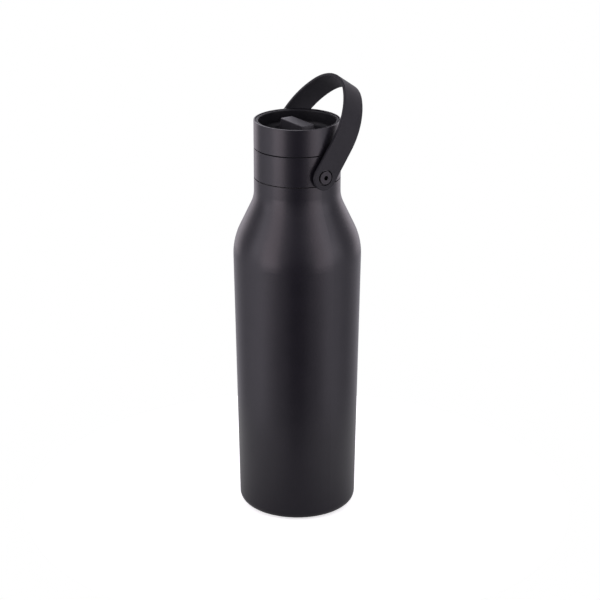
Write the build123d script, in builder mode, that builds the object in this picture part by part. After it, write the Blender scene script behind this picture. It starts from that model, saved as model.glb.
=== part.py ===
from build123d import *
from math import atan2, copysign, cos, radians, sin
import os

# Insulated 500 ml water bottle: double steel wall, two-stage screw lid, swinging carry strap.
# Millimetres, +Z up.  The origin is the centre of the foot's underside, the strap turns about
# an axis along X, and at rest it leans towards +Y.
# Radii end in _R, heights above the resting surface end in _Z.

# ---- Outer steel body: a slight cone, a sloping shoulder and a straight neck
STEEL_BASE_Z = 0.6
BASE_R = 33.6
SHOULDER_R = 36.5
SHOULDER_Z = 161.3
NECK_R = 24.4
NECK_ROOT_Z = 186.6
NECK_LIP_Z = 198.4
BASE_CORNER = 5.3
SHOULDER_BLEND = 37.8
NECK_BLEND = 18.9
OUTER_WALL = 0.5
BASE_OPENING_R = 27.0

# ---- Inner steel flask: it follows the body at a constant distance, up to a wider neck bore
INNER_WALL = 0.4
VACUUM_GAP = 2.6
FLASK_FLOOR_Z = 10.0
FLASK_FLOOR_CORNER = 6.0
NECK_BORE_R = 22.2
LIP_CORNER = 0.8

# ---- Base: welded plate, evacuation hole, cover and foot
PLATE_WALL = 0.5
PLATE_CEILING_Z = 3.0
PLATE_STEP_R = 24.6
PUMP_HOLE_R = 1.2
PUMP_HEAD_R = 2.4
PUMP_HEAD_H = 0.8
COVER_R = 23.9
COVER_WALL = 0.4
COVER_Z = 1.0
PAD_R = 23.8
PAD_EDGE = 0.4

# ---- Getter, hung from the flask's floor inside the vacuum
CAGE_R = 4.6
CAGE_FLOOR_Z = 6.6
CAGE_WINDOW_R = 2.5
CAGE_FLANGE_R = 7.0
CAGE_WALL = 0.4
PELLET_R = 4.0
PELLET_H = 2.2

# ---- Metal sleeves of the collar and the cap, with a fine seam below each
SEAM = 0.4
SLEEVE_WALL = 0.7
SLEEVE_EDGE = 0.2
SLEEVE_BORE_R = NECK_R - SLEEVE_WALL
COLLAR_BASE_Z = NECK_LIP_Z + SEAM
COLLAR_TOP_Z = 215.7
CAP_BASE_Z = COLLAR_TOP_Z + SEAM
RIM_Z = 231.4

# ---- Collar: threaded skirt in the neck, core with a throat for the cap's plug and a drinking lip
SKIRT_BASE_Z = 181.0
SKIRT_R = 20.9
SKIRT_BORE_R = 18.9
SKIRT_EDGE = 0.8
TONGUE_STEP = 0.6
TONGUE_TOP_Z = 200.7
GASKET_ROOF_Z = 200.0
GASKET_GROOVE_R = 23.2
THROAT_R = 17.2
THROAT_BASE_Z = 204.0
DRINK_LIP_R = 19.2
DRINK_LIP_Z = 219.5
DRINK_LIP_EDGE = 0.8

# ---- Gaskets
LID_GASKET_R = 23.1
LID_GASKET_BORE_R = 21.2
CAP_GASKET_R = 19.8
CAP_GASKET_BORE_R = 16.2
GASKET_EDGE = 0.3

# ---- Two-start threads: one turn climbs one lead, and a ridge sits midway between two others
THREAD_STARTS = 2
LID_LEAD = 8.0
LID_MALE_CREST_R = 21.9
LID_FEMALE_CREST_R = 21.2
LID_MALE_Z = 185.5
LID_MALE_TURNS = 1.25
LID_FEMALE_TURNS = 1.0
LID_RIDGE = 2.0
CAP_LEAD = 6.0
CAP_MALE_CREST_R = 16.9
CAP_FEMALE_CREST_R = 16.3
CAP_MALE_Z = 207.5
CAP_TURNS = 1.25
CAP_RIDGE = 1.4
RIDGE_SINK = 0.2

# ---- Cap: bowl with a finger recess, pinch bar across it, hollow threaded plug below
BOWL_UNDER_Z = 221.0
BOWL_FLOOR_Z = 222.5
BOWL_R = 21.8
BOWL_SKIRT_R = 21.0
BOWL_LIP_Z = 231.1
BOWL_FLOOR_CORNER = 2.5
BOWL_LIP_EDGE = 0.6
BAR_TOP_Z = 230.2
BAR_TOP_LENGTH = 22.4
BAR_FOOT_LENGTH = 26.0
BAR_WIDTH = 8.1
BAR_CORNER = 1.2
BAR_EDGE = 0.5
PLUG_R = 16.0
PLUG_BORE_R = 14.6
PLUG_BASE_Z = 206.0
PLUG_ROOF_Z = 219.8
PLUG_EDGE = 0.5
COVER_DISC_H = 1.4
COVER_DIMPLE_R = 9.0
COVER_DIMPLE = 0.4
FOAM_R = 14.4
FOAM_GAP = 0.2
FOAM_TOP_Z = 218.0

# ---- Grip screws, driven from inside the plug up into the bar
GRIP_SCREW_X = 6.0
GRIP_SCREW_R = 1.25
GRIP_HOLE_R = 1.35
GRIP_SCREW_TOP_Z = 228.0
GRIP_HEAD_R = 2.4
GRIP_HEAD_H = 1.6
GRIP_SOCKET = 1.5

# ---- Strap: a flat band bent into a loop, turning on two stepped bushings
PIVOT_Z = 204.2
STRAP_LEAN = 34.2
STRAP_WIDTH = 14.5
STRAP_THICKNESS = 1.8
STRAP_FOOT_X = 27.1
STRAP_SIDE_RISE = 19.2
STRAP_TOP_RISE = 54.3
STRAP_CROWN_BEND = 20.7
STRAP_EDGE = 0.4
STRAP_INNER_X = STRAP_FOOT_X - STRAP_THICKNESS / 2
STRAP_OUTER_X = STRAP_FOOT_X + STRAP_THICKNESS / 2

# ---- Strap hardware, each piece turned about the pivot axis
SCREW_R = 2.0
SCREW_HEAD_R = 3.8
SCREW_HEAD_H = 1.1
SCREW_HEAD_EDGE = 0.3
SCREW_SOCKET = 2.5
SCREW_SOCKET_DEPTH = 2.2
SCREW_TIP_X = 19.4
INSERT_R = 2.8
INSERT_BORE_R = 2.05
INSERT_INNER_X = 18.7
INSERT_GROOVE_R = 2.5
BUSHING_R = 2.9
BUSHING_BORE_R = 2.1
BUSHING_FLANGE_R = 4.4
BUSHING_FLANGE_X = NECK_R + 0.1
SLEEVE_HOLE_R = 3.0
EYELET_R = 5.1
EYELET_RIB_R = 5.6
EYELET_RIB = 0.6
EYELET_BORE_R = 3.0
EYELET_RECESS_R = 4.5
EYELET_FLOOR_X = STRAP_INNER_X + 0.7
WASHER_R = 4.3
WASHER_BORE_R = 3.05
WASHER_WALL = 0.25
WASHER_CONE = 0.2
HEAD_X = EYELET_FLOOR_X + WASHER_WALL + WASHER_CONE


def lathe(points, label):
    """One turned piece: a closed outline of (radius, height) points revolved about Z."""
    with BuildPart() as piece:
        with BuildSketch(Plane.XZ):
            with BuildLine():
                Polyline(*points, close=True)
            make_face()
        revolve(axis=Axis.Z)
    piece.part.label = label
    return piece


def pressed_sheet(points, radii, wall, side, label):
    """Sheet of constant wall revolved about Z, drawn along one face with rounded corners."""
    with BuildPart() as piece:
        with BuildSketch(Plane.XZ):
            with BuildLine():
                face = FilletPolyline(*points, radius=radii)
                offset(face, amount=wall, side=side)
            make_face()
        revolve(axis=Axis.Z)
    piece.part.label = label
    return piece


def pivot_stack(points, label):
    """Turned pieces on the strap's pivot axis, one on each side of the neck.

    The closed outline holds (distance along X, distance from the pivot axis) points.
    """
    pivot_plane = Plane(origin=(0, 0, PIVOT_Z), x_dir=(1, 0, 0), z_dir=(0, -1, 0))
    with BuildPart() as pieces:
        with BuildSketch(pivot_plane):
            with BuildLine():
                Polyline(*points, close=True)
            make_face()
        revolve(axis=Axis((0, 0, PIVOT_Z), (1, 0, 0)))
        mirror(about=Plane.YZ)
    pieces.part.label = label
    return pieces


def thread_ridges(root_r, crest_r, base_z, turns, lead, ridge):
    """Helical ridges from a wall at root_r to their crests, one for each start of the thread."""
    sink = copysign(RIDGE_SINK, root_r - crest_r)
    with BuildPart() as single:
        with BuildLine(Plane.XY.offset(base_z)):
            helix = Helix(pitch=lead, height=lead * turns, radius=root_r)
        with BuildSketch(Plane.XZ):
            with BuildLine():
                Polyline(
                    (root_r + sink, base_z - ridge / 2),
                    (crest_r, base_z - ridge / 4),
                    (crest_r, base_z + ridge / 4),
                    (root_r + sink, base_z + ridge / 2),
                    close=True,
                )
            make_face()
        sweep(path=helix, is_frenet=True)
    with BuildPart() as ridges:
        with PolarLocations(0, THREAD_STARTS):
            add(single.part)
    return ridges.part


# ---------------------------------------------------------------- bottle body

# Outer steel shell, turned in at the base and open at the neck
outer_shell = pressed_sheet(
    [
        (BASE_OPENING_R, STEEL_BASE_Z),
        (BASE_R, STEEL_BASE_Z),
        (SHOULDER_R, SHOULDER_Z),
        (NECK_R, NECK_ROOT_Z),
        (NECK_R, NECK_LIP_Z),
    ],
    [BASE_CORNER, SHOULDER_BLEND, NECK_BLEND],
    OUTER_WALL,
    Side.LEFT,
    "outer_shell",
)

# Inner flask: its inside face is the body's outline moved in, met by the wider neck bore,
# and its lip laps the inside of the outer shell's edge
inset = OUTER_WALL + VACUUM_GAP + INNER_WALL
shoulder_slope = atan2(SHOULDER_R - NECK_R, NECK_ROOT_Z - SHOULDER_Z)
slope_inset = inset / cos(shoulder_slope)
wall_per_height = (SHOULDER_R - NECK_R) / (NECK_ROOT_Z - SHOULDER_Z)
cone_per_height = (SHOULDER_R - BASE_R) / SHOULDER_Z
flask_shoulder_z = SHOULDER_Z - (slope_inset - inset) / (wall_per_height + cone_per_height)
flask_shoulder_r = SHOULDER_R - inset - cone_per_height * (SHOULDER_Z - flask_shoulder_z)
flask_neck_z = SHOULDER_Z + (SHOULDER_R - slope_inset - NECK_BORE_R) / wall_per_height
flask_wall = pressed_sheet(
    [
        (0, FLASK_FLOOR_Z),
        (BASE_R - inset, FLASK_FLOOR_Z),
        (flask_shoulder_r, flask_shoulder_z),
        (NECK_BORE_R, flask_neck_z),
        (NECK_BORE_R, NECK_LIP_Z),
        (NECK_R - OUTER_WALL, NECK_LIP_Z),
    ],
    [FLASK_FLOOR_CORNER, SHOULDER_BLEND - inset, NECK_BLEND + inset, LIP_CORNER],
    INNER_WALL,
    Side.RIGHT,
    "inner_flask",
)
lid_pitch = LID_LEAD / THREAD_STARTS
neck_thread = thread_ridges(
    NECK_BORE_R, LID_FEMALE_CREST_R, LID_MALE_Z + lid_pitch / 2, LID_FEMALE_TURNS, LID_LEAD, LID_RIDGE
)
with BuildPart() as inner_flask:
    add(flask_wall.part)
    add(neck_thread)
inner_flask.part.label = "inner_flask"

# Base plate: a shallow dish welded inside the turned-in edge, with the evacuation hole
base_plate = pressed_sheet(
    [
        (PUMP_HOLE_R, PLATE_CEILING_Z),
        (PLATE_STEP_R, PLATE_CEILING_Z),
        (PLATE_STEP_R, STEEL_BASE_Z),
        (BASE_OPENING_R, STEEL_BASE_Z),
    ],
    [PLATE_WALL, 2 * PLATE_WALL],
    PLATE_WALL,
    Side.LEFT,
    "base_plate",
)

vacuum_plug = lathe(
    [
        (0, PLATE_CEILING_Z - PUMP_HEAD_H),
        (PUMP_HEAD_R / 2, PLATE_CEILING_Z - PUMP_HEAD_H),
        (PUMP_HEAD_R, PLATE_CEILING_Z - PUMP_HEAD_H / 3),
        (PUMP_HEAD_R, PLATE_CEILING_Z),
        (PUMP_HOLE_R, PLATE_CEILING_Z),
        (PUMP_HOLE_R, PLATE_CEILING_Z + PLATE_WALL),
        (0, PLATE_CEILING_Z + PLATE_WALL),
    ],
    "vacuum_plug",
)

flask_under_z = FLASK_FLOOR_Z - INNER_WALL
getter_cage = pressed_sheet(
    [
        (CAGE_WINDOW_R, CAGE_FLOOR_Z),
        (CAGE_R, CAGE_FLOOR_Z),
        (CAGE_R, flask_under_z),
        (CAGE_FLANGE_R, flask_under_z),
    ],
    [CAGE_WALL, 2 * CAGE_WALL],
    CAGE_WALL,
    Side.RIGHT,
    "getter_cage",
)

getter_pellet = lathe(
    [
        (0, CAGE_FLOOR_Z),
        (PELLET_R, CAGE_FLOOR_Z),
        (PELLET_R, CAGE_FLOOR_Z + PELLET_H),
        (0, CAGE_FLOOR_Z + PELLET_H),
    ],
    "getter_pellet",
)

base_cover = pressed_sheet(
    [
        (0, COVER_Z + COVER_WALL),
        (COVER_R - COVER_WALL, COVER_Z + COVER_WALL),
        (COVER_R - COVER_WALL, PLATE_CEILING_Z),
    ],
    [COVER_WALL],
    COVER_WALL,
    Side.RIGHT,
    "base_cover",
)

with BuildPart() as foot_pad:
    with BuildSketch(Plane.XY):
        Circle(PAD_R)
    extrude(amount=COVER_Z)
    fillet(foot_pad.edges().group_by(Axis.Z)[0], radius=PAD_EDGE)
foot_pad.part.label = "foot_pad"

# ---------------------------------------------------------------- lid collar

with BuildPart() as lid_gasket:
    with BuildSketch(Plane.XY.offset(NECK_LIP_Z)):
        Circle(LID_GASKET_R)
        Circle(LID_GASKET_BORE_R, mode=Mode.SUBTRACT)
    extrude(amount=GASKET_ROOF_Z - NECK_LIP_Z)
    fillet(lid_gasket.edges(), radius=GASKET_EDGE)
lid_gasket.part.label = "lid_gasket"

with BuildPart() as collar_sleeve:
    with BuildSketch(Plane.XY.offset(COLLAR_BASE_Z)):
        Circle(NECK_R)
        Circle(SLEEVE_BORE_R, mode=Mode.SUBTRACT)
    extrude(amount=COLLAR_TOP_Z - COLLAR_BASE_Z)
    fillet(collar_sleeve.edges().filter_by(GeomType.CIRCLE).group_by(SortBy.RADIUS)[-1], radius=SLEEVE_EDGE)
    with BuildSketch(Plane.YZ):
        with Locations((0, PIVOT_Z)):
            Circle(SLEEVE_HOLE_R)
    extrude(amount=NECK_R + SEAM, both=True, mode=Mode.SUBTRACT)
collar_sleeve.part.label = "collar_sleeve"

# Skirt: it hangs in the neck, carries the lid's thread, and its tongue is welded into the core
skirt_thread = thread_ridges(SKIRT_R, LID_MALE_CREST_R, LID_MALE_Z, LID_MALE_TURNS, LID_LEAD, LID_RIDGE)
with BuildPart() as thread_skirt:
    with BuildSketch(Plane.XZ):
        with BuildLine():
            Polyline(
                (SKIRT_BORE_R, SKIRT_BASE_Z),
                (SKIRT_R, SKIRT_BASE_Z),
                (SKIRT_R, GASKET_ROOF_Z),
                (SKIRT_R - TONGUE_STEP, GASKET_ROOF_Z),
                (SKIRT_R - TONGUE_STEP, TONGUE_TOP_Z),
                (SKIRT_BORE_R + TONGUE_STEP, TONGUE_TOP_Z),
                (SKIRT_BORE_R + TONGUE_STEP, GASKET_ROOF_Z),
                (SKIRT_BORE_R, GASKET_ROOF_Z),
                close=True,
            )
        make_face()
    revolve(axis=Axis.Z)
    fillet(thread_skirt.edges().group_by(Axis.Z)[0], radius=SKIRT_EDGE)
    add(skirt_thread)
thread_skirt.part.label = "thread_skirt"

# Core: it fills the sleeve, its throat takes the cap's plug, and its lip is drunk from
cap_pitch = CAP_LEAD / THREAD_STARTS
throat_thread = thread_ridges(
    THROAT_R, CAP_FEMALE_CREST_R, CAP_MALE_Z - cap_pitch / 2, CAP_TURNS, CAP_LEAD, CAP_RIDGE
)
with BuildPart() as collar_core:
    with BuildSketch(Plane.XZ):
        with BuildLine():
            Polyline(
                (SKIRT_BORE_R, GASKET_ROOF_Z),
                (SKIRT_BORE_R + TONGUE_STEP, GASKET_ROOF_Z),
                (SKIRT_BORE_R + TONGUE_STEP, TONGUE_TOP_Z),
                (SKIRT_R - TONGUE_STEP, TONGUE_TOP_Z),
                (SKIRT_R - TONGUE_STEP, GASKET_ROOF_Z),
                (GASKET_GROOVE_R, GASKET_ROOF_Z),
                (GASKET_GROOVE_R, COLLAR_BASE_Z),
                (SLEEVE_BORE_R, COLLAR_BASE_Z),
                (SLEEVE_BORE_R, COLLAR_TOP_Z),
                (DRINK_LIP_R, COLLAR_TOP_Z),
                (DRINK_LIP_R, DRINK_LIP_Z),
                (THROAT_R, DRINK_LIP_Z),
                (THROAT_R, THROAT_BASE_Z),
                close=True,
            )
        make_face()
    revolve(axis=Axis.Z)
    fillet(collar_core.edges().group_by(Axis.Z)[-1], radius=DRINK_LIP_EDGE)
    add(throat_thread)
    with BuildSketch(Plane.YZ.offset(INSERT_INNER_X), Plane.YZ.offset(-SLEEVE_BORE_R)):
        with Locations((0, PIVOT_Z)):
            Circle(INSERT_R)
    extrude(amount=SLEEVE_BORE_R - INSERT_INNER_X, mode=Mode.SUBTRACT)
collar_core.part.label = "collar_core"

# ---------------------------------------------------------------- strap hardware

insert_third = (SLEEVE_BORE_R - INSERT_INNER_X) / 3
threaded_inserts = pivot_stack(
    [
        (INSERT_INNER_X, INSERT_BORE_R),
        (SLEEVE_BORE_R, INSERT_BORE_R),
        (SLEEVE_BORE_R, INSERT_R),
        (SLEEVE_BORE_R - insert_third, INSERT_R),
        (SLEEVE_BORE_R - insert_third, INSERT_GROOVE_R),
        (INSERT_INNER_X + insert_third, INSERT_GROOVE_R),
        (INSERT_INNER_X + insert_third, INSERT_R),
        (INSERT_INNER_X, INSERT_R),
    ],
    "threaded_inserts",
)

strap_bushings = pivot_stack(
    [
        (SLEEVE_BORE_R, BUSHING_BORE_R),
        (HEAD_X, BUSHING_BORE_R),
        (HEAD_X, BUSHING_R),
        (STRAP_INNER_X, BUSHING_R),
        (STRAP_INNER_X, BUSHING_FLANGE_R),
        (BUSHING_FLANGE_X, BUSHING_FLANGE_R),
        (BUSHING_FLANGE_X, BUSHING_R),
        (SLEEVE_BORE_R, BUSHING_R),
    ],
    "strap_bushings",
)

# Disc springs: shallow cones that press the strap against its bushings
strap_washers = pivot_stack(
    [
        (EYELET_FLOOR_X, WASHER_R),
        (EYELET_FLOOR_X + WASHER_CONE, WASHER_BORE_R),
        (EYELET_FLOOR_X + WASHER_CONE + WASHER_WALL, WASHER_BORE_R),
        (EYELET_FLOOR_X + WASHER_WALL, WASHER_R),
    ],
    "strap_washers",
)

strap_eyelets = pivot_stack(
    [
        (STRAP_INNER_X, EYELET_BORE_R),
        (EYELET_FLOOR_X, EYELET_BORE_R),
        (EYELET_FLOOR_X, EYELET_RECESS_R),
        (STRAP_OUTER_X, EYELET_RECESS_R),
        (STRAP_OUTER_X, EYELET_R),
        (STRAP_FOOT_X + EYELET_RIB / 2, EYELET_R),
        (STRAP_FOOT_X + EYELET_RIB / 2, EYELET_RIB_R),
        (STRAP_FOOT_X - EYELET_RIB / 2, EYELET_RIB_R),
        (STRAP_FOOT_X - EYELET_RIB / 2, EYELET_R),
        (STRAP_INNER_X, EYELET_R),
    ],
    "strap_eyelets",
)

# Space that an eyelet fills, bore included: what is cut from the strap for it
eyelet_seats = pivot_stack(
    [
        (STRAP_INNER_X, 0),
        (STRAP_OUTER_X, 0),
        (STRAP_OUTER_X, EYELET_R),
        (STRAP_FOOT_X + EYELET_RIB / 2, EYELET_R),
        (STRAP_FOOT_X + EYELET_RIB / 2, EYELET_RIB_R),
        (STRAP_FOOT_X - EYELET_RIB / 2, EYELET_RIB_R),
        (STRAP_FOOT_X - EYELET_RIB / 2, EYELET_R),
        (STRAP_INNER_X, EYELET_R),
    ],
    "eyelet_seats",
)

with BuildPart() as strap_screws:
    with BuildSketch(Plane.YZ.offset(SCREW_TIP_X)):
        with Locations((0, PIVOT_Z)):
            Circle(SCREW_R)
    extrude(amount=HEAD_X - SCREW_TIP_X)
    with BuildSketch(Plane.YZ.offset(HEAD_X)):
        with Locations((0, PIVOT_Z)):
            Circle(SCREW_HEAD_R)
    extrude(amount=SCREW_HEAD_H)
    fillet(strap_screws.edges().group_by(Axis.X)[-1], radius=SCREW_HEAD_EDGE)
    with BuildSketch(Plane.YZ.offset(HEAD_X + SCREW_HEAD_H)):
        with Locations((0, PIVOT_Z)):
            RegularPolygon(radius=SCREW_SOCKET / 2, side_count=6, major_radius=False)
    extrude(amount=-SCREW_SOCKET_DEPTH, mode=Mode.SUBTRACT)
    mirror(about=Plane.YZ)
strap_screws.part.label = "strap_screws"

# ---------------------------------------------------------------- strap

# The loop lies in a plane through the pivots that leans back by STRAP_LEAN.  Its right half
# runs straight up from the pivot, then closes over the bottle in a wide side arc and a tighter
# crown arc that is level at the middle
lean = radians(STRAP_LEAN)
loop_plane = Plane(origin=(0, 0, PIVOT_Z), x_dir=(1, 0, 0), z_dir=(0, -cos(lean), sin(lean)))
side_plane = Plane(origin=(0, 0, PIVOT_Z), x_dir=(0, cos(lean), -sin(lean)), z_dir=(1, 0, 0))
side_top = Vector(STRAP_FOOT_X, STRAP_SIDE_RISE)
crown = Vector(0, STRAP_TOP_RISE)
crown_centre = crown - Vector(0, STRAP_CROWN_BEND)
centre_rise = crown_centre.Y - STRAP_SIDE_RISE
side_bend = (STRAP_FOOT_X**2 + centre_rise**2 - STRAP_CROWN_BEND**2) / (
    2 * (STRAP_FOOT_X - STRAP_CROWN_BEND)
)
side_centre = side_top - Vector(side_bend, 0)
arc_join = crown_centre + (crown_centre - side_centre).normalized() * STRAP_CROWN_BEND
with BuildPart() as strap:
    with BuildSketch(loop_plane):
        with BuildLine():
            upright = Line((STRAP_FOOT_X, -STRAP_WIDTH / 2), side_top)
            side = TangentArc(side_top, arc_join, tangent=upright % 1)
            TangentArc(arc_join, crown, tangent=side % 1)
            mirror(about=Plane.YZ)
            offset(amount=STRAP_THICKNESS / 2, kind=Kind.INTERSECTION)
        make_face()
    extrude(amount=STRAP_WIDTH / 2, both=True)
    with BuildSketch(side_plane):
        SlotCenterPoint((0, STRAP_TOP_RISE / 2), (0, 0), STRAP_WIDTH)
        with Locations((0, STRAP_TOP_RISE)):
            Rectangle(STRAP_WIDTH, STRAP_TOP_RISE)
    extrude(amount=2 * STRAP_FOOT_X, both=True, mode=Mode.INTERSECT)
    long_edges = strap.edges().filter_by(lambda edge: edge.length > 2 * STRAP_THICKNESS)
    fillet(long_edges, radius=STRAP_EDGE)
    add(eyelet_seats.part, mode=Mode.SUBTRACT)
strap.part.label = "strap"

# ---------------------------------------------------------------- cap

with BuildPart() as cap_gasket:
    with BuildSketch(Plane.XY.offset(DRINK_LIP_Z)):
        Circle(CAP_GASKET_R)
        Circle(CAP_GASKET_BORE_R, mode=Mode.SUBTRACT)
    extrude(amount=BOWL_UNDER_Z - DRINK_LIP_Z)
    fillet(cap_gasket.edges(), radius=GASKET_EDGE)
cap_gasket.part.label = "cap_gasket"

with BuildPart() as cap_sleeve:
    with BuildSketch(Plane.XY.offset(CAP_BASE_Z)):
        Circle(NECK_R)
        Circle(SLEEVE_BORE_R, mode=Mode.SUBTRACT)
    extrude(amount=RIM_Z - CAP_BASE_Z)
    fillet(cap_sleeve.edges().filter_by(GeomType.CIRCLE).group_by(SortBy.RADIUS)[-1], radius=SLEEVE_EDGE)
cap_sleeve.part.label = "cap_sleeve"

with BuildPart() as cap_bowl:
    with BuildSketch(Plane.XZ):
        with BuildLine():
            Polyline(
                (0, BOWL_UNDER_Z),
                (BOWL_SKIRT_R, BOWL_UNDER_Z),
                (BOWL_SKIRT_R, CAP_BASE_Z),
                (SLEEVE_BORE_R, CAP_BASE_Z),
                (SLEEVE_BORE_R, BOWL_LIP_Z),
                (BOWL_R, BOWL_LIP_Z),
                (BOWL_R, BOWL_FLOOR_Z),
                (0, BOWL_FLOOR_Z),
                close=True,
            )
        make_face()
    revolve(axis=Axis.Z)
    rim_edges = cap_bowl.edges().filter_by(GeomType.CIRCLE).group_by(Axis.Z)[-1]
    fillet(rim_edges, radius=BOWL_LIP_EDGE)
    # Rings from below: the skirt's base, the plate's underside, then the floor
    floor_edges = cap_bowl.edges().filter_by(GeomType.CIRCLE).group_by(Axis.Z)[2]
    fillet(floor_edges, radius=BOWL_FLOOR_CORNER)
    with BuildSketch(Plane.XY.offset(BOWL_UNDER_Z)):
        with Locations((GRIP_SCREW_X, 0), (-GRIP_SCREW_X, 0)):
            Circle(GRIP_HOLE_R)
    extrude(amount=BOWL_FLOOR_Z - BOWL_UNDER_Z, mode=Mode.SUBTRACT)
cap_bowl.part.label = "cap_bowl"

with BuildPart() as grip_bar:
    with BuildSketch(Plane.XZ):
        with BuildLine():
            Polyline(
                (-BAR_FOOT_LENGTH / 2, BOWL_FLOOR_Z),
                (BAR_FOOT_LENGTH / 2, BOWL_FLOOR_Z),
                (BAR_TOP_LENGTH / 2, BAR_TOP_Z),
                (-BAR_TOP_LENGTH / 2, BAR_TOP_Z),
                close=True,
            )
        make_face()
    extrude(amount=BAR_WIDTH / 2, both=True)
    corner_edges = grip_bar.edges() - grip_bar.faces().filter_by(Axis.Z).edges()
    fillet(corner_edges, radius=BAR_CORNER)
    fillet(grip_bar.faces().sort_by(Axis.Z)[-1].edges(), radius=BAR_EDGE)
    with BuildSketch(Plane.XY.offset(BOWL_FLOOR_Z)):
        with Locations((GRIP_SCREW_X, 0), (-GRIP_SCREW_X, 0)):
            Circle(GRIP_HOLE_R)
    extrude(amount=GRIP_SCREW_TOP_Z - BOWL_FLOOR_Z, mode=Mode.SUBTRACT)
grip_bar.part.label = "grip_bar"

with BuildPart() as grip_screws:
    with BuildSketch(Plane.XY.offset(PLUG_ROOF_Z - GRIP_HEAD_H)):
        with Locations((GRIP_SCREW_X, 0), (-GRIP_SCREW_X, 0)):
            Circle(GRIP_HEAD_R)
    extrude(amount=GRIP_HEAD_H)
    with BuildSketch(Plane.XY.offset(PLUG_ROOF_Z)):
        with Locations((GRIP_SCREW_X, 0), (-GRIP_SCREW_X, 0)):
            Circle(GRIP_SCREW_R)
    extrude(amount=GRIP_SCREW_TOP_Z - PLUG_ROOF_Z)
    with BuildSketch(Plane.XY.offset(PLUG_ROOF_Z - GRIP_HEAD_H)):
        with Locations((GRIP_SCREW_X, 0), (-GRIP_SCREW_X, 0)):
            RegularPolygon(radius=GRIP_SOCKET / 2, side_count=6, major_radius=False)
    extrude(amount=GRIP_HEAD_H / 2, mode=Mode.SUBTRACT)
grip_screws.part.label = "grip_screws"

plug_thread = thread_ridges(PLUG_R, CAP_MALE_CREST_R, CAP_MALE_Z, CAP_TURNS, CAP_LEAD, CAP_RIDGE)
with BuildPart() as cap_plug:
    with BuildSketch(Plane.XZ):
        with BuildLine():
            Polyline(
                (PLUG_BORE_R, PLUG_BASE_Z),
                (PLUG_R - PLUG_EDGE, PLUG_BASE_Z),
                (PLUG_R, PLUG_BASE_Z + PLUG_EDGE),
                (PLUG_R, BOWL_UNDER_Z),
                (0, BOWL_UNDER_Z),
                (0, PLUG_ROOF_Z),
                (PLUG_BORE_R, PLUG_ROOF_Z),
                close=True,
            )
        make_face()
    revolve(axis=Axis.Z)
    add(plug_thread)
    with BuildSketch(Plane.XY.offset(PLUG_ROOF_Z)):
        with Locations((GRIP_SCREW_X, 0), (-GRIP_SCREW_X, 0)):
            Circle(GRIP_HOLE_R)
    extrude(amount=BOWL_UNDER_Z - PLUG_ROOF_Z, mode=Mode.SUBTRACT)
cap_plug.part.label = "cap_plug"

plug_cover = lathe(
    [
        (0, PLUG_BASE_Z + COVER_DIMPLE),
        (COVER_DIMPLE_R, PLUG_BASE_Z + COVER_DIMPLE),
        (COVER_DIMPLE_R + COVER_DIMPLE, PLUG_BASE_Z),
        (PLUG_BORE_R, PLUG_BASE_Z),
        (PLUG_BORE_R, PLUG_BASE_Z + COVER_DISC_H),
        (0, PLUG_BASE_Z + COVER_DISC_H),
    ],
    "plug_cover",
)

foam_base_z = PLUG_BASE_Z + COVER_DISC_H + FOAM_GAP
cap_foam = lathe(
    [(0, foam_base_z), (FOAM_R, foam_base_z), (FOAM_R, FOAM_TOP_Z), (0, FOAM_TOP_Z)],
    "cap_foam",
)

# ---------------------------------------------------------------- files

os.makedirs("parts", exist_ok=True)
pieces = [
    outer_shell,
    inner_flask,
    base_plate,
    vacuum_plug,
    getter_cage,
    getter_pellet,
    base_cover,
    foot_pad,
    lid_gasket,
    thread_skirt,
    collar_sleeve,
    collar_core,
    threaded_inserts,
    strap_bushings,
    strap_washers,
    strap_eyelets,
    strap_screws,
    strap,
    cap_gasket,
    cap_sleeve,
    cap_bowl,
    grip_bar,
    grip_screws,
    cap_plug,
    plug_cover,
    cap_foam,
]
for piece in pieces:
    export_step(piece.part, "parts/" + piece.part.label + ".step")
    print(piece.part.label, round(piece.part.volume, 1), len(piece.part.solids()))
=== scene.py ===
"""Looks of the insulated water bottle: materials, floor, studio light and camera.

The CAD frame gives every shape and place. Metres, +Z up, the strap turns about an axis along X.
Angles round the bottle are in degrees from the camera's side, positive towards the camera's right.
"""
import math

import bpy
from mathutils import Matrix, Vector

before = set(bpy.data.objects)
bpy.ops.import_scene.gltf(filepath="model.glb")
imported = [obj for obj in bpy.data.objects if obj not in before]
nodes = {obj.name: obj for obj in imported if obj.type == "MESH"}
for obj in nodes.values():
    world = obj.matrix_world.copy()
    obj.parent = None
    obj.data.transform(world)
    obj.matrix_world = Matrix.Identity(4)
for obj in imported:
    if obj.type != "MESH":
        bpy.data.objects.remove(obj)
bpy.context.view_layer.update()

MM = 0.001

# Camera: where it stands about the bottle, how far it looks down, and its long lens
CAMERA_AZIMUTH = 56.07
CAMERA_DISTANCE = 1.085
CAMERA_HEIGHT = 0.5193
CAMERA_TILT = 20.0
CAMERA_LENS = 120.7
CAMERA_SHIFT = 0.0046

# Light cards of the room: angle and half width, then the level below, at and above the horizon.
# A card is brightest at its angle and fades evenly to nothing at its half width; levels add up.
LIGHT_CARDS = [
    (180, 160, 0.75, 0.62, 0.66),   # pale wall behind, fading out towards the camera
    (180, 50, 0.00, 1.15, 0.35),    # window behind the bottle
    (-70, 45, 0.95, 0.00, 0.00),    # bounce from below, on the left
    (64, 38, 0.84, 0.00, 0.00),     # bounce from below, on the right
    (-78, 22, 0.00, 1.80, 1.80),    # tall card on the left
    (69, 28, 0.00, 1.70, 1.70),     # tall card on the right
    (-24, 14, 0.31, 0.70, 0.70),    # narrow cards on both sides of the camera
    (24, 14, 0.31, 0.70, 0.70),
    (0, 20, 0.05, 0.15, 0.15),      # the dim room behind the camera
]
CEILING_LIGHT = 0.6
RAMP_PEAK = 3.0
ROOM_TINT = (1.04, 1.0, 1.10, 1)

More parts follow.
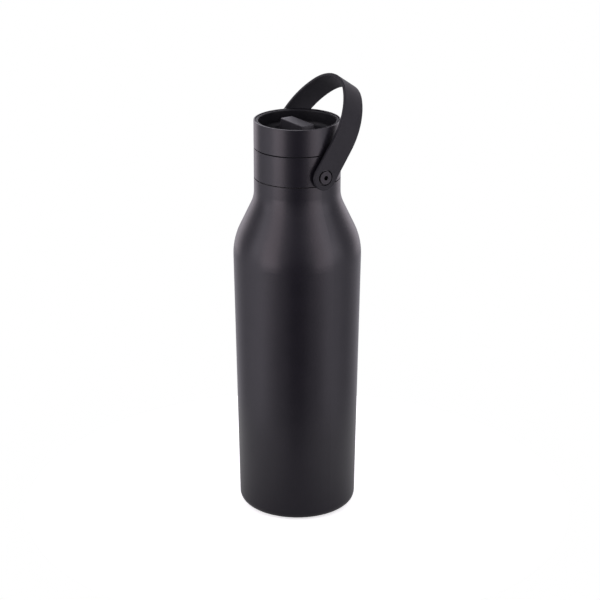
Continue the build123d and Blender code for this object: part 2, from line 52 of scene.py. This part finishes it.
# Where one band of the room passes into the next, as the sine of the elevation
BELOW_TO_HORIZON = (-0.20, 0.05)
HORIZON_TO_ABOVE = (0.15, 0.40)
ABOVE_TO_CEILING = (0.55, 0.90)

# Tall soft boxes, two beside the camera and two behind the bottle: angle, level
SOFTBOXES = [(-48, 2.08), (46, 1.40), (-138, 0.7), (138, 0.62)]
SOFTBOX_DISTANCE = 0.55
SOFTBOX_BASE = 0.02
SOFTBOX_WIDTH = 0.30
SOFTBOX_HEIGHT = 0.62
SOFTBOX_TINT = (1.0, 0.88, 0.95)

# Floor: white where it is looked at, a grey table in reflections, brighter beside the bottle
FLOOR_RADIUS = 0.16
FLOOR_SIDES = 96
FLOOR_GAP = 0.05 * MM
FLOOR_SEEN = (0.93, 0.93, 0.93)
FLOOR_REFLECTED = (0.20, 0.20, 0.205)
GLOW_SEEN = 0.65
GLOW_REFLECTED = 0.165
GLOW_REFLECTED_BESIDE = 0.44
GLOW_FADE = (0.01, 0.08)

# The part of a noise texture's range that its values mostly fill
NOISE_LOW = 0.3
NOISE_HIGH = 0.7


# ---------------------------------------------------------------- node helpers

class Nodes:
    """A node tree under construction."""

    def __init__(self, tree):
        self.tree = tree

    def node(self, kind, **settings):
        made = self.tree.nodes.new(kind)
        for key, value in settings.items():
            setattr(made, key, value)
        return made

    def link(self, source, target):
        self.tree.links.new(source, target)

    def feed(self, value, target):
        """Sets an input to a number, or links an output to it."""
        if isinstance(value, (int, float)):
            target.default_value = value
        else:
            self.link(value, target)

    def math(self, operation, *values):
        made = self.node("ShaderNodeMath", operation=operation)
        for value, target in zip(values, made.inputs):
            self.feed(value, target)
        return made.outputs[0]

    def along(self, vector, axis):
        """How far a vector reaches along an axis."""
        made = self.node("ShaderNodeVectorMath", operation="DOT_PRODUCT")
        made.inputs[1].default_value = axis
        self.link(vector, made.inputs[0])
        return made.outputs["Value"]


class Shader(Nodes):
    """A material under construction, with its Principled shader and object coordinates."""

    def __init__(self, name, **values):
        self.material = bpy.data.materials.new(name)
        self.material.use_nodes = True
        super().__init__(self.material.node_tree)
        self.surface = self.tree.nodes["Principled BSDF"]
        self.place = self.node("ShaderNodeTexCoord").outputs["Object"]
        for key, value in values.items():
            self.surface.inputs[key.replace("_", " ")].default_value = value

    def noise(self, scale, detail=2.0):
        """Noise with features about 1 / scale metres across."""
        made = self.node("ShaderNodeTexNoise")
        made.inputs["Scale"].default_value = scale
        made.inputs["Detail"].default_value = detail
        self.link(self.place, made.inputs["Vector"])
        return made.outputs["Fac"]

    def ring_lines(self, lines_per_metre):
        """Fine turned lines: noise that changes only with the distance from the axis and the height."""
        split = self.node("ShaderNodeSeparateXYZ")
        self.link(self.place, split.inputs[0])
        across = self.math("POWER", split.outputs["X"], 2.0)
        along = self.math("POWER", split.outputs["Y"], 2.0)
        radius = self.math("SQRT", self.math("ADD", across, along))
        lines = self.node("ShaderNodeTexNoise", noise_dimensions="1D")
        lines.inputs["Scale"].default_value = lines_per_metre
        self.link(self.math("ADD", radius, split.outputs["Z"]), lines.inputs["W"])
        return lines.outputs["Fac"]

    def remap(self, value, low, high, span=(NOISE_LOW, NOISE_HIGH)):
        """From low to high as the value crosses the span."""
        made = self.node("ShaderNodeMapRange")
        for index, setting in enumerate((*span, low, high), start=1):
            made.inputs[index].default_value = setting
        self.link(value, made.inputs[0])
        return made.outputs[0]

    def ramp(self, value, dark, light):
        """Colour between two tones, led by a noise value around the middle of its range."""
        made = self.node("ShaderNodeValToRGB")
        ends = made.color_ramp.elements
        ends[0].position, ends[0].color = NOISE_LOW, (*dark, 1)
        ends[1].position, ends[1].color = NOISE_HIGH, (*light, 1)
        self.link(value, made.inputs[0])
        return made.outputs[0]

    def bump(self, height, depth, over=None):
        """Relief of the given depth in metres, over another relief if there is one."""
        made = self.node("ShaderNodeBump")
        made.inputs["Distance"].default_value = depth
        self.link(height, made.inputs["Height"])
        if over is not None:
            self.link(over, made.inputs["Normal"])
        return made.outputs["Normal"]

    def finish(self, colour=None, roughness=None, relief=None):
        for source, name in ((colour, "Base Color"), (roughness, "Roughness"), (relief, "Normal")):
            if source is not None:
                self.link(source, self.surface.inputs[name])
        return self.material


# ---------------------------------------------------------------- materials

def powder_coat():
    """Matte black powder coat: an even orange-peel grain and faint mottling."""
    look = Shader("black_powder_coat", Specular_Tint=(1.02, 1.0, 1.03, 1))
    mottling = look.noise(scale=90, detail=3)
    grain = look.noise(scale=2600, detail=3)
    peel = look.noise(scale=700, detail=1)
    colour = look.ramp(mottling, dark=(0.0075, 0.0070, 0.0105), light=(0.0100, 0.0090, 0.0130))
    roughness = look.remap(grain, low=0.28, high=0.34)
    relief = look.bump(grain, depth=0.012 * MM, over=look.bump(peel, depth=0.02 * MM))
    return look.finish(colour, roughness, relief)


def moulded_plastic(name, dark, light, roughness=(0.38, 0.46), gloss=0.5):
    """Spark-eroded mould texture with flow-tone variation."""
    look = Shader(name, Specular_IOR_Level=gloss)
    colour = look.ramp(look.noise(scale=140, detail=3), dark, light)
    grain = look.noise(scale=1900, detail=4)
    return look.finish(colour, look.remap(grain, *roughness), look.bump(grain, depth=0.02 * MM))


def rubber(name, dark, light, roughness):
    """Soft rubber: fine satin grain, slightly cloudy."""
    look = Shader(name, Specular_IOR_Level=0.36)
    colour = look.ramp(look.noise(scale=220, detail=4), dark, light)
    grain = look.noise(scale=3200, detail=3)
    return look.finish(colour, look.remap(grain, *roughness), look.bump(grain, depth=0.01 * MM))


def turned_metal(name, dark, light, roughness):
    """Metal with circumferential brushing."""
    look = Shader(name, Metallic=1.0)
    lines = look.ring_lines(lines_per_metre=5000)
    colour = look.ramp(lines, dark, light)
    return look.finish(colour, look.remap(lines, *roughness), look.bump(lines, depth=0.006 * MM))


def silicone(name, dark, light):
    """Translucent moulded silicone."""
    look = Shader(name, Subsurface_Weight=0.3, Subsurface_Radius=(2 * MM, 2 * MM, 2 * MM), Roughness=0.4)
    colour = look.ramp(look.noise(scale=400), dark, light)
    return look.finish(colour, relief=look.bump(look.noise(scale=2500), depth=0.01 * MM))


def cell_foam(name, dark, light):
    """Closed-cell foam: packed bubbles."""
    look = Shader(name, Roughness=0.9)
    cells = look.node("ShaderNodeTexVoronoi")
    cells.inputs["Scale"].default_value = 1400
    look.link(look.place, cells.inputs["Vector"])
    bubbles = cells.outputs["Distance"]
    return look.finish(look.ramp(bubbles, dark, light), relief=look.bump(bubbles, depth=0.15 * MM))


def sintered_metal(name, dark, light):
    """Pressed metal powder."""
    look = Shader(name, Metallic=0.6, Roughness=0.75)
    grain = look.noise(scale=1500, detail=5)
    return look.finish(look.ramp(grain, dark, light), relief=look.bump(grain, depth=0.06 * MM))


FINISHES = [
    (powder_coat(), ["outer_shell", "collar_sleeve", "cap_sleeve"]),
    (
        moulded_plastic("black_plastic", (0.006, 0.006, 0.0085), (0.010, 0.010, 0.013)),
        ["thread_skirt", "collar_core", "cap_plug", "plug_cover"],
    ),
    (
        moulded_plastic("grip_plastic", (0.026, 0.026, 0.030), (0.036, 0.036, 0.041), roughness=(0.40, 0.48)),
        ["grip_bar"],
    ),
    # The cap's black plastic made darker and duller: painted shade for the shadowed inside of the recessed
    # bowl
    (
        moulded_plastic(
            "bowl_plastic_painted_shade", (0.005, 0.005, 0.0075), (0.008, 0.008, 0.0105), roughness=(0.46, 0.54), gloss=0.36
        ),
        ["cap_bowl"],
    ),
    (
        rubber("strap_rubber", (0.0070, 0.0066, 0.0100), (0.0100, 0.0094, 0.0135), roughness=(0.55, 0.65)),
        ["strap", "strap_eyelets"],
    ),
    (
        rubber("black_silicone", (0.018, 0.018, 0.019), (0.026, 0.026, 0.027), roughness=(0.55, 0.7)),
        ["foot_pad"],
    ),
    (
        turned_metal("bare_steel", (0.50, 0.49, 0.47), (0.66, 0.65, 0.63), roughness=(0.22, 0.36)),
        ["inner_flask", "base_plate", "base_cover", "getter_cage", "grip_screws"],
    ),
    # Black steel for the screws; the bushings and washers, bare steel in the part, take it too as painted
    # shade for the dark recess ring round each screw head
    (
        turned_metal("black_steel", (0.034, 0.032, 0.035), (0.056, 0.054, 0.058), roughness=(0.34, 0.46)),
        ["strap_screws", "strap_bushings", "strap_washers"],
    ),
    (
        turned_metal("brass", (0.62, 0.44, 0.19), (0.80, 0.60, 0.30), roughness=(0.2, 0.32)),
        ["vacuum_plug", "threaded_inserts"],
    ),
    (silicone("seal_silicone", (0.1504, 0.1504, 0.1551), (0.16, 0.16, 0.165)), ["lid_gasket", "cap_gasket"]),
    (cell_foam("rigid_foam", (0.66, 0.60, 0.42), (0.84, 0.79, 0.62)), ["cap_foam"]),
    (sintered_metal("sintered_alloy", (0.16, 0.155, 0.15), (0.34, 0.33, 0.32)), ["getter_pellet"]),
]
for material, names in FINISHES:
    for name in names:
        for material_slot in nodes[name].material_slots:
            material_slot.material = material


# ---------------------------------------------------------------- studio

def around(degrees):
    """Horizontal direction at an angle round the bottle."""
    angle = math.radians(CAMERA_AZIMUTH + degrees)
    return Vector((math.sin(angle), -math.cos(angle), 0))


def pale_floor():
    """A round, plain, matt floor under the bottle; past its edge there is only white."""
    bpy.ops.mesh.primitive_circle_add(
        vertices=FLOOR_SIDES, radius=FLOOR_RADIUS, fill_type="NGON", location=(0, 0, -FLOOR_GAP)
    )
    floor = bpy.context.object
    floor.name = "floor"
    look = Shader("pale_floor", Roughness=0.9, Specular_IOR_Level=0.1)
    looked_at = look.node("ShaderNodeLightPath").outputs["Is Camera Ray"]

    colour = look.node("ShaderNodeMix", data_type="RGBA")
    look.link(looked_at, colour.inputs["Factor"])
    colour.inputs["A"].default_value = (*FLOOR_REFLECTED, 1)
    grain = look.ramp(look.noise(scale=300), tuple(0.99 * tone for tone in FLOOR_SEEN), FLOOR_SEEN)
    look.link(grain, colour.inputs["B"])

    beside = look.math("ABSOLUTE", look.along(look.place, around(90)))
    reflected = look.remap(beside, GLOW_REFLECTED, GLOW_REFLECTED_BESIDE, span=GLOW_FADE)
    glow = look.math("MAXIMUM", reflected, look.math("MULTIPLY", looked_at, GLOW_SEEN))
    look.link(glow, look.surface.inputs["Emission Strength"])
    look.surface.inputs["Emission Color"].default_value = (1, 1, 1, 1)

    floor.data.materials.append(look.finish(colour.outputs["Result"]))


def card_corners():
    """Angles at which the sum of the light cards changes its slope, from -180 to 180."""
    corners = {-180, 180}
    for angle, half_width, *_ in LIGHT_CARDS:
        for corner in (angle - half_width, angle, angle + half_width):
            corners.add((corner + 180) % 360 - 180)
    return sorted(corners)


def card_level(degrees, band):
    """Sum of the light cards at an angle; band 0, 1 or 2 is below, at or above the horizon."""
    total = 0
    for angle, half_width, *levels in LIGHT_CARDS:
        apart = abs((degrees - angle + 180) % 360 - 180)
        total += levels[band] * max(0, 1 - apart / half_width)
    return total


class Room(Nodes):
    """World light: dark behind the camera, bright at the sides, pale behind the bottle."""

    def __init__(self):
        world = bpy.data.worlds.new("studio")
        bpy.context.scene.world = world
        world.use_nodes = True
        super().__init__(world.node_tree)
        direction = self.node("ShaderNodeTexCoord").outputs["Generated"]
        forward = self.along(direction, around(0))
        sideways = self.along(direction, around(90))
        self.height = self.along(direction, (0, 0, 1))
        turns = self.math("DIVIDE", self.math("ARCTAN2", sideways, forward), 2 * math.pi)
        self.turn = self.math("ADD", turns, 0.5)

    def cards(self, band):
        """Light level of one band of the cards, along straight steps from corner to corner."""
        ramp = self.node("ShaderNodeValToRGB")
        ramp.color_ramp.interpolation = "LINEAR"
        corners = card_corners()
        ends = ramp.color_ramp.elements
        while len(ends) < len(corners):
            ends.new(0.5)
        for end, corner in zip(ends, corners):
            end.position = (corner + 180) / 360
            end.color = (*[card_level(corner, band) / RAMP_PEAK] * 3, 1)
        self.link(self.turn, ramp.inputs[0])
        return self.math("MULTIPLY", ramp.outputs[0], RAMP_PEAK)

    def blend(self, span, first, second):
        """From the first level to the second as the direction rises through the span."""
        fade = self.node("ShaderNodeMapRange", interpolation_type="SMOOTHSTEP")
        fade.inputs["From Min"].default_value, fade.inputs["From Max"].default_value = span
        self.link(self.height, fade.inputs["Value"])
        mix = self.node("ShaderNodeMix")
        self.link(fade.outputs["Result"], mix.inputs["Factor"])
        self.feed(first, mix.inputs["A"])
        self.feed(second, mix.inputs["B"])
        return mix.outputs["Result"]


def studio_room():
    """Lights the bottle with the cards and the ceiling, and shows the camera plain white."""
    room = Room()
    below, at_horizon, above = (room.cards(band) for band in range(3))
    low = room.blend(BELOW_TO_HORIZON, below, at_horizon)
    high = room.blend(ABOVE_TO_CEILING, above, CEILING_LIGHT)
    level = room.blend(HORIZON_TO_ABOVE, low, high)
    light = room.tree.nodes["Background"]
    light.inputs["Color"].default_value = ROOM_TINT
    room.link(level, light.inputs["Strength"])

    backdrop = room.node("ShaderNodeBackground")
    backdrop.inputs["Color"].default_value = (1, 1, 1, 1)
    mix = room.node("ShaderNodeMixShader")
    room.link(room.node("ShaderNodeLightPath").outputs["Is Camera Ray"], mix.inputs[0])
    room.link(light.outputs[0], mix.inputs[1])
    room.link(backdrop.outputs[0], mix.inputs[2])
    room.link(mix.outputs[0], room.tree.nodes["World Output"].inputs["Surface"])


def softboxes():
    """Tall rectangular lights around the bottle, facing it, never in view."""
    for number, (angle, level) in enumerate(SOFTBOXES, start=1):
        light = bpy.data.lights.new(f"softbox_{number}", "AREA")
        light.shape = "RECTANGLE"
        light.size = SOFTBOX_WIDTH
        light.size_y = SOFTBOX_HEIGHT
        light.energy = math.pi * SOFTBOX_WIDTH * SOFTBOX_HEIGHT * level
        light.color = SOFTBOX_TINT
        stand = bpy.data.objects.new(light.name, light)
        bpy.context.scene.collection.objects.link(stand)
        side = around(angle)
        stand.location = side * SOFTBOX_DISTANCE + Vector((0, 0, SOFTBOX_BASE + SOFTBOX_HEIGHT / 2))
        stand.rotation_euler = (-side).to_track_quat("-Z", "Y").to_euler()
        stand.visible_camera = False


def camera():
    """A long lens on a stand beside the bottle, looking down at it."""
    lens = bpy.data.cameras.new("camera")
    lens.lens = CAMERA_LENS
    lens.shift_x = CAMERA_SHIFT
    stand = bpy.data.objects.new("camera", lens)
    bpy.context.scene.collection.objects.link(stand)
    stand.location = around(0) * CAMERA_DISTANCE + Vector((0, 0, CAMERA_HEIGHT))
    tilt = math.radians(CAMERA_TILT)
    gaze = -around(0) * math.cos(tilt) - Vector((0, 0, math.sin(tilt)))
    stand.rotation_euler = gaze.to_track_quat("-Z", "Y").to_euler()
    bpy.context.scene.camera = stand


bpy.context.scene.view_settings.view_transform = "Standard"
pale_floor()
studio_room()
softboxes()
camera()
